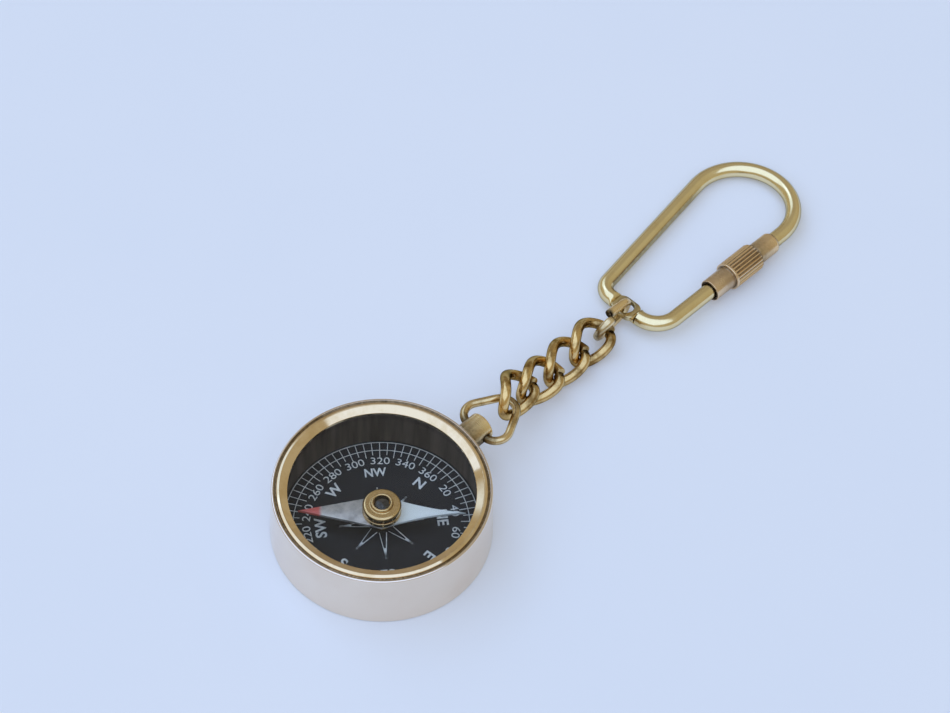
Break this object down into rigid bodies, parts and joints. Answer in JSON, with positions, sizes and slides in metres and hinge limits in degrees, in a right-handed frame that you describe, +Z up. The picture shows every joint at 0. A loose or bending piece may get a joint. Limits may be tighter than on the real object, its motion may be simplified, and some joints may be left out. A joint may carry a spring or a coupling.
{
  "type": "compass keychain",
  "caption": "Round brass pocket compass on a short twisted chain with an oblong key hoop that a knurled screw sleeve locks; the needle turns, the chain bends and the sleeve slides.",
  "frame": {"origin": "centre of the compass case's flat base", "axes": "+X from the case along the chain to the hoop, +Y to the left of it, +Z up through the crystal"},
  "size_m": [0.1271, 0.038, 0.0118],
  "materials": {
    "case_brass": "polished, pale",
    "crystal_glass": "clear, flat",
    "dial_black": "matte black with printed scale",
    "liner_dark": "satin dark",
    "pivot_brass": "turned",
    "pivot_steel": "ground point",
    "needle_silver": "satin silver with a red tip",
    "hub_brass": "turned, satin",
    "jewel_dark": "glossy",
    "wire_brass": "polished wire",
    "chain_brass": "aged, darker in the joints",
    "hoop_brass": "polished wire",
    "lock_brass": "knurled, reddish",
    "ferrule_brass": "satin, browner"
  },
  "bodies": {
    "compass_case": {"case_cup": "case_brass", "bezel_ring": "case_brass", "crystal": "crystal_glass", "dial_card": "dial_black", "liner_ring": "liner_dark", "pivot_bush": "pivot_brass", "pivot_pin": "pivot_steel", "stem": "case_brass"},
    "needle": {"needle": "needle_silver", "needle_cap": "hub_brass", "jewel": "jewel_dark"},
    "bow": {"bow": "wire_brass"},
    "link_1": {"chain_link_1": "chain_brass"},
    "link_2": {"chain_link_2": "chain_brass"},
    "link_3": {"chain_link_3": "chain_brass"},
    "link_4": {"chain_link_4": "chain_brass"},
    "ring": {"jump_ring": "chain_brass"},
    "hoop": {"hoop_wire": "hoop_brass", "thread_ferrule": "ferrule_brass"},
    "sleeve": {"lock_sleeve": "lock_brass"}
  },
  "joints": [
    {"name": "needle_turn", "type": "hinge", "parent": "compass_case", "child": "needle", "pos_m": [0, 0, 0.00558], "axis": [0, 0, 1], "continuous": true},
    {"name": "bow_swing", "type": "hinge", "parent": "compass_case", "child": "bow", "pos_m": [0.0223, 0, 0.0068], "axis": [0, 1, 0], "range_deg": [-85, 85]},
    {"name": "link_1_swing", "type": "hinge", "parent": "bow", "child": "link_1", "pos_m": [0.03107, 0, 0.0068], "axis": [0, 1, 0], "range_deg": [-35, 30]},
    {"name": "link_2_swing", "type": "hinge", "parent": "link_1", "child": "link_2", "pos_m": [0.0341, 0.0007, 0.0057], "axis": [0.1203, 0.0486, 0.9916], "range_deg": [-45, 15]},
    {"name": "link_3_swing", "type": "hinge", "parent": "link_2", "child": "link_3", "pos_m": [0.04313, 0.00136, 0.00458], "axis": [-0.062, 0.9942, 0.0877], "range_deg": [-25, 25]},
    {"name": "link_4_swing", "type": "hinge", "parent": "link_3", "child": "link_4", "pos_m": [0.04791, 0.00102, 0.00373], "axis": [0.027, 0.187, 0.982], "range_deg": [-35, 25]},
    {"name": "ring_swing", "type": "hinge", "parent": "link_4", "child": "ring", "pos_m": [0.05693, 0.00223, 0.00325], "axis": [-0.1349, 0.9894, -0.0545], "range_deg": [-45, 60]},
    {"name": "hoop_swing", "type": "hinge", "parent": "ring", "child": "hoop", "pos_m": [0.06358, 0.00299, 0.00286], "axis": [0.1177, -0.1452, 0.9824], "range_deg": [-45, 32]},
    {"name": "sleeve_slide", "type": "slide", "parent": "hoop", "child": "sleeve", "axis": [-1, 0, 0.0087], "range_m": [0, 0.0075]}
  ]
}
